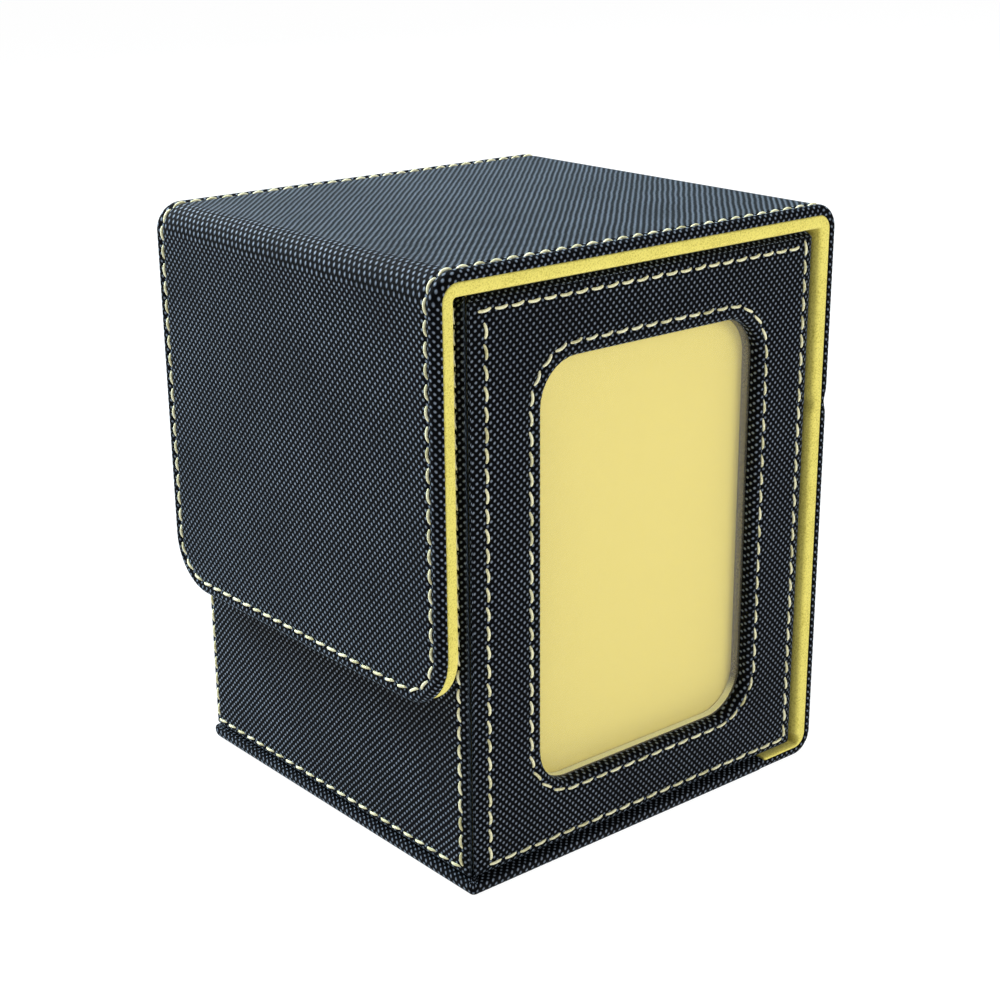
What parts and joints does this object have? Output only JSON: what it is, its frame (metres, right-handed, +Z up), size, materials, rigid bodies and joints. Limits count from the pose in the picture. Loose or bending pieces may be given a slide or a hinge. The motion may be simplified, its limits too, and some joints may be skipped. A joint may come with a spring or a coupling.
{
  "type": "card deck box",
  "caption": "Upright deck box for collectible cards with a display window pocket, a wrap-around hinged cover and a magnetic closing flap.",
  "frame": {"origin": "middle of the part's box in X and Y, on the surface it stands on", "axes": "+Z up; the display window looks along -Y; the closing flap hangs on the -X side and the cover is hinged on the +X side"},
  "size_m": [0.095, 0.0854, 0.1118],
  "materials": {
    "leatherette": "matt, embossed with a fine diagonal ballistic-weave grain",
    "suede": "yellow microfibre suede",
    "grey_board": "plain grey board",
    "magnet": "nickel-plated disc",
    "clear_pane": "clear film",
    "insert_card": "plain pale-yellow card"
  },
  "bodies": {
    "box": {"base_leather": "leatherette", "base_board": "grey_board", "floor_lining": "suede", "heel_leather": "leatherette", "heel_lining": "suede", "front_wall_leather": "leatherette", "front_wall_board": "grey_board", "front_wall_lining": "suede", "wall_magnet_1": "magnet", "wall_magnet_2": "magnet", "wall_magnet_3": "magnet", "window_panel_leather": "leatherette", "window_panel_board": "grey_board", "window_pane": "clear_pane", "window_lining": "suede", "pocket_spacer": "grey_board", "pocket_board": "grey_board", "pocket_lining": "suede", "rear_panel_leather": "leatherette", "rear_panel_board": "grey_board", "rear_panel_lining": "suede", "back_wall_leather": "leatherette", "back_wall_board": "grey_board", "back_wall_lining": "suede", "lower_back_leather": "leatherette", "lower_back_outer_board": "grey_board", "lower_back_inner_board": "grey_board", "lower_back_lining": "suede", "back_fold_leather": "leatherette", "back_fold_lining": "suede"},
    "upper_back": {"upper_back_leather": "leatherette", "upper_back_outer_board": "grey_board", "upper_back_inner_board": "grey_board", "upper_back_lining": "suede", "lid_bend_leather": "leatherette", "lid_bend_lining": "suede"},
    "lid": {"lid_leather": "leatherette", "lid_outer_board": "grey_board", "lid_inner_board": "grey_board", "lid_lining": "suede", "flap_bend_leather": "leatherette", "flap_bend_lining": "suede"},
    "flap": {"flap_leather": "leatherette", "flap_outer_board": "grey_board", "flap_inner_board": "grey_board", "flap_lining": "suede", "flap_magnet_1": "magnet", "flap_magnet_2": "magnet", "flap_magnet_3": "magnet"},
    "display_card": {"display_card": "insert_card"},
    "divider_1": {"divider_1": "suede"},
    "divider_2": {"divider_2": "suede"}
  },
  "joints": [
    {"name": "lid_hinge", "type": "hinge", "parent": "upper_back", "child": "lid", "pos_m": [0.0465, 0, 0.1108], "axis": [0, 1, 0], "range_deg": [0, 120], "deforming": ["lid_bend_leather", "lid_bend_lining"]},
    {"name": "back_fold", "type": "hinge", "parent": "box", "child": "upper_back", "pos_m": [0.0457, 0, 0.074], "axis": [0, 1, 0], "range_deg": [0, 60], "deforming": ["back_fold_leather", "back_fold_lining"]},
    {"name": "flap_hinge", "type": "hinge", "parent": "lid", "child": "flap", "pos_m": [-0.0462, 0, 0.1105], "axis": [0, 1, 0], "range_deg": [0, 90], "deforming": ["flap_bend_leather", "flap_bend_lining"]},
    {"name": "display_card_slide", "type": "slide", "parent": "box", "child": "display_card", "axis": [0, 0, 1], "range_m": [0, 0.006]},
    {"name": "divider_1_slide", "type": "slide", "parent": "box", "child": "divider_1", "axis": [0, 1, 0], "range_m": [-0.022, 0.01]},
    {"name": "divider_2_slide", "type": "slide", "parent": "box", "child": "divider_2", "axis": [0, 1, 0], "range_m": [-0.01, 0.022]}
  ],
  "couplings": [
    {"joint": "back_fold", "follows": "lid_hinge", "ratio": 0.5}
  ]
}
